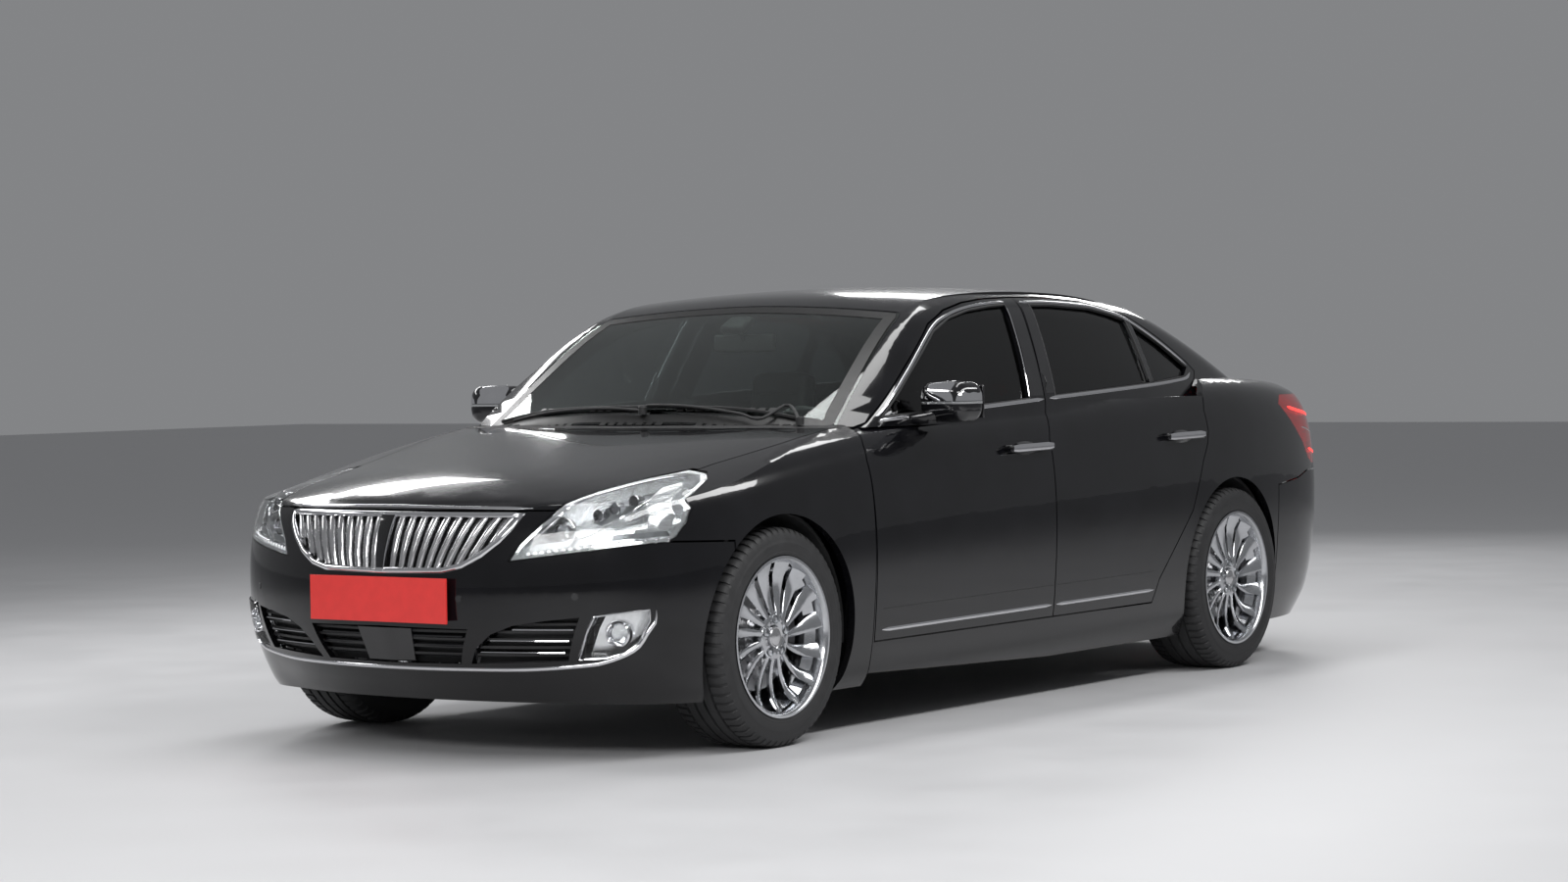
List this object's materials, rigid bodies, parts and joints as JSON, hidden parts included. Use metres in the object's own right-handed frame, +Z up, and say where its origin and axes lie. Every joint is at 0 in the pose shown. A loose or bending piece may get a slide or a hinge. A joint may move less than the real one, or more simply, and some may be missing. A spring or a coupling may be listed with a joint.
{
  "type": "luxury saloon car",
  "caption": "Long three-box saloon with four hinged doors, hood and boot lid, steered front wheels, chrome grille, tinted side glass and a furnished cabin.",
  "frame": {"origin": "on the ground at the centre of the bounding box's base", "axes": "+Z up, nose toward -Y, the car's left side toward +X"},
  "size_m": [2.1856, 5.1802, 1.4908],
  "materials": {
    "body_paint": "gloss black paint",
    "underbody": "satin black underseal",
    "tinted_glass": "dark tint",
    "clear_glass": "light green tint",
    "lamp_lens": "clear",
    "lamp_chrome": "bright reflector",
    "tail_lens": "red",
    "chrome_trim": "polished",
    "black_plastic": "grained",
    "plate_red": "blank red plate",
    "tyre": "moulded rubber",
    "alloy": "bright silver",
    "suspension_metal": "cast",
    "engine_metal": "plain cast block",
    "exhaust_steel": "stainless",
    "seat_leather": "black leather",
    "cabin_plastic": "soft touch"
  },
  "bodies": {
    "body": {"roof": "body_paint", "body_side_left": "body_paint", "body_side_right": "body_paint", "floor_pan": "underbody", "fender_left": "body_paint", "fender_right": "body_paint", "front_bumper": "body_paint", "rear_bumper": "body_paint", "windscreen": "clear_glass", "rear_window": "clear_glass", "headlamps": "lamp_lens", "fog_lamps": "lamp_lens", "lamp_housings": "lamp_chrome", "tail_lamps": "tail_lens", "grille": "chrome_trim", "lower_grilles": "black_plastic", "scuttle": "black_plastic", "number_plate": "plate_red", "front_suspension": "suspension_metal", "rear_suspension": "suspension_metal", "engine_block": "engine_metal", "exhaust": "exhaust_steel", "front_seats": "seat_leather", "rear_seat": "seat_leather", "dashboard": "cabin_plastic"},
    "hood": {"hood": "body_paint"},
    "boot_lid": {"boot_lid": "body_paint"},
    "door_front_left": {"door_front_left": "body_paint", "glass_front_left": "tinted_glass", "mirror_left": "body_paint"},
    "door_front_right": {"door_front_right": "body_paint", "glass_front_right": "tinted_glass", "mirror_right": "body_paint"},
    "door_rear_left": {"door_rear_left": "body_paint", "glass_rear_left": "tinted_glass"},
    "door_rear_right": {"door_rear_right": "body_paint", "glass_rear_right": "tinted_glass"},
    "knuckle_left": {"knuckle_left": "suspension_metal"},
    "knuckle_right": {"knuckle_right": "suspension_metal"},
    "wheel_front_left": {"tyre_front_left": "tyre", "rim_front_left": "alloy"},
    "wheel_front_right": {"tyre_front_right": "tyre", "rim_front_right": "alloy"},
    "wheel_rear_left": {"tyre_rear_left": "tyre", "rim_rear_left": "alloy"},
    "wheel_rear_right": {"tyre_rear_right": "tyre", "rim_rear_right": "alloy"},
    "steering_wheel": {"steering_wheel": "cabin_plastic"}
  },
  "joints": [
    {"name": "front_left_door", "type": "hinge", "parent": "body", "child": "door_front_left", "pos_m": [0.93, -1.157, 0.6], "axis": [0, 0, -1], "range_deg": [0, 68]},
    {"name": "front_right_door", "type": "hinge", "parent": "body", "child": "door_front_right", "pos_m": [-0.93, -1.157, 0.6], "axis": [0, 0, 1], "range_deg": [0, 68]},
    {"name": "rear_left_door", "type": "hinge", "parent": "body", "child": "door_rear_left", "pos_m": [0.93, 0.002, 0.6], "axis": [0, 0, -1], "range_deg": [0, 68]},
    {"name": "rear_right_door", "type": "hinge", "parent": "body", "child": "door_rear_right", "pos_m": [-0.93, 0.002, 0.6], "axis": [0, 0, 1], "range_deg": [0, 68]},
    {"name": "hood_hinge", "type": "hinge", "parent": "body", "child": "hood", "pos_m": [0, -1.19, 1], "axis": [-1, 0, 0], "range_deg": [0, 52]},
    {"name": "boot_hinge", "type": "hinge", "parent": "body", "child": "boot_lid", "pos_m": [0, 1.5, 1.03], "axis": [1, 0, 0], "range_deg": [0, 75]},
    {"name": "steer_left", "type": "hinge", "parent": "body", "child": "knuckle_left", "pos_m": [0.805, -1.705, 0.3515], "axis": [0, 0, 1], "range_deg": [-35, 35]},
    {"name": "steer_right", "type": "hinge", "parent": "body", "child": "knuckle_right", "pos_m": [-0.805, -1.705, 0.3515], "axis": [0, 0, 1], "range_deg": [-35, 35]},
    {"name": "steering_wheel_turn", "type": "hinge", "parent": "body", "child": "steering_wheel", "pos_m": [0.365, -0.7, 0.88], "axis": [0, 0.9135, 0.4067], "range_deg": [-500, 500]},
    {"name": "spin_front_left", "type": "hinge", "parent": "knuckle_left", "child": "wheel_front_left", "pos_m": [0.805, -1.705, 0.3515], "axis": [1, 0, 0], "continuous": true},
    {"name": "spin_front_right", "type": "hinge", "parent": "knuckle_right", "child": "wheel_front_right", "pos_m": [-0.805, -1.705, 0.3515], "axis": [1, 0, 0], "continuous": true},
    {"name": "spin_rear_left", "type": "hinge", "parent": "body", "child": "wheel_rear_left", "pos_m": [0.806, 1.34, 0.3515], "axis": [1, 0, 0], "continuous": true},
    {"name": "spin_rear_right", "type": "hinge", "parent": "body", "child": "wheel_rear_right", "pos_m": [-0.806, 1.34, 0.3515], "axis": [1, 0, 0], "continuous": true}
  ],
  "couplings": [
    {"joint": "steer_right", "follows": "steer_left", "ratio": 1},
    {"joint": "steering_wheel_turn", "follows": "steer_left", "ratio": 14}
  ]
}
